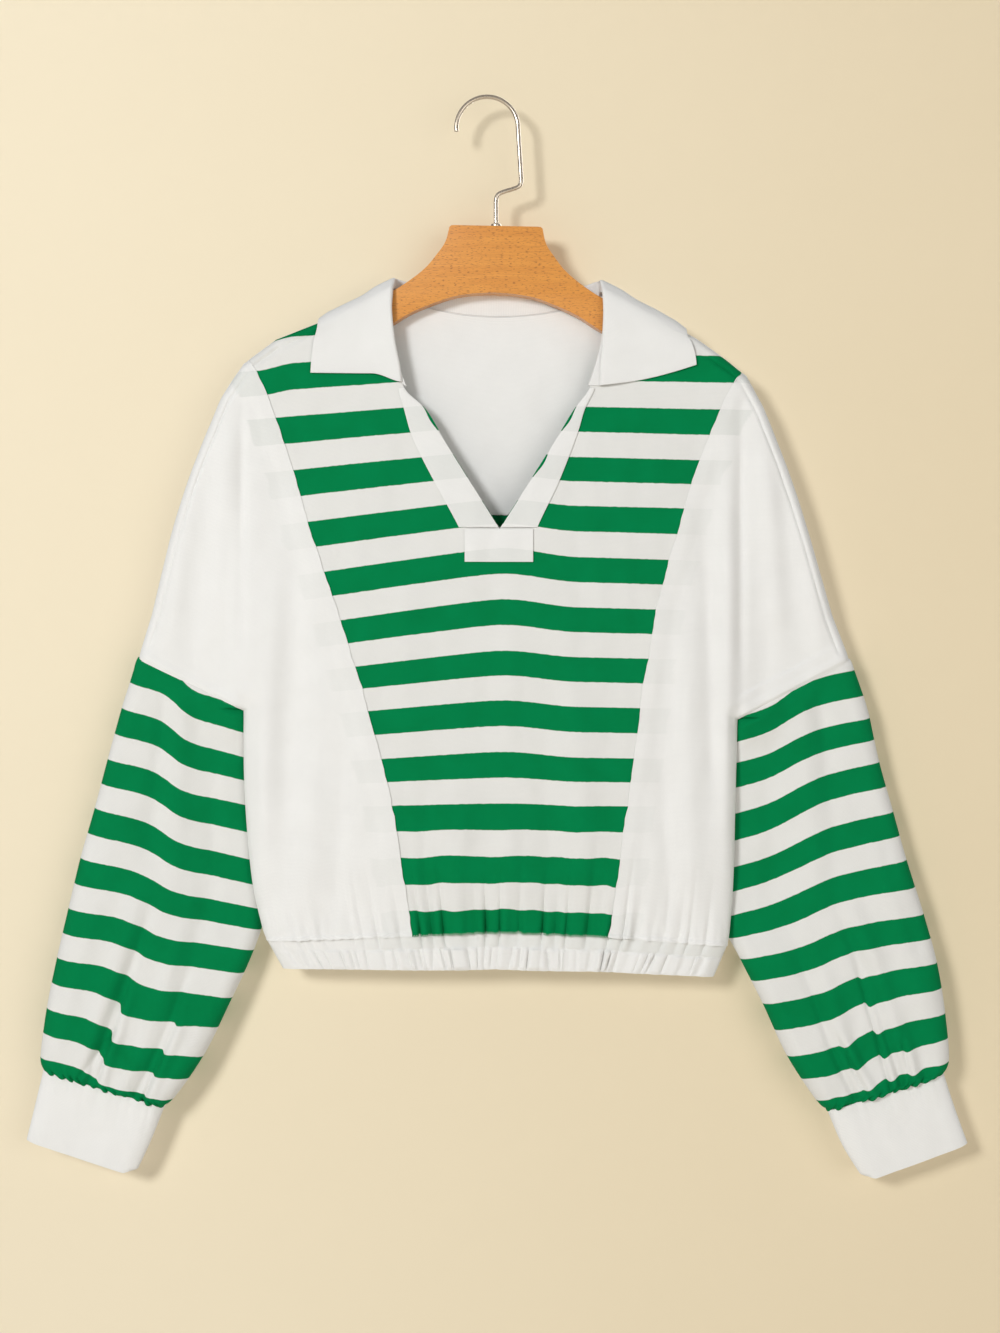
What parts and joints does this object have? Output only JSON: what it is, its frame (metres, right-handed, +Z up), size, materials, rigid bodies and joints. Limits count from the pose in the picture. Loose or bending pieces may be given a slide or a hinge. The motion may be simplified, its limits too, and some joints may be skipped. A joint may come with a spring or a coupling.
{
  "type": "crop top on a hanger",
  "caption": "Cropped drop-shoulder pullover with stripes, a pointed collar, bishop sleeves and a gathered waistband, hanging on a wooden hanger.",
  "frame": {"origin": "inside of the hook's crown, where a rail holds the hanger", "axes": "+Z up, +X to the right of someone looking at the front, the front faces -Y"},
  "size_m": [0.7494, 0.0441, 0.8639],
  "materials": {
    "white knit": "matte knit",
    "white rib": "matte, doubled",
    "striped knit": "matte knit, green and white stripes",
    "beech": "clear satin lacquer",
    "nickel": "plated wire"
  },
  "bodies": {
    "root": {"front_centre": "striped knit", "front_side_left": "white knit", "front_side_right": "white knit", "back_yoke": "white knit", "back_centre": "striped knit", "back_side_left": "white knit", "back_side_right": "white knit", "sleeve_left": "striped knit", "sleeve_right": "striped knit", "cuff_left": "white rib", "cuff_right": "white rib", "collar": "white rib", "neck_strip_left": "white knit", "neck_strip_right": "white knit", "neck_tab": "white knit", "waistband": "white knit", "hanger": "beech", "ferrule": "nickel", "hook": "nickel"}
  },
  "joints": []
}
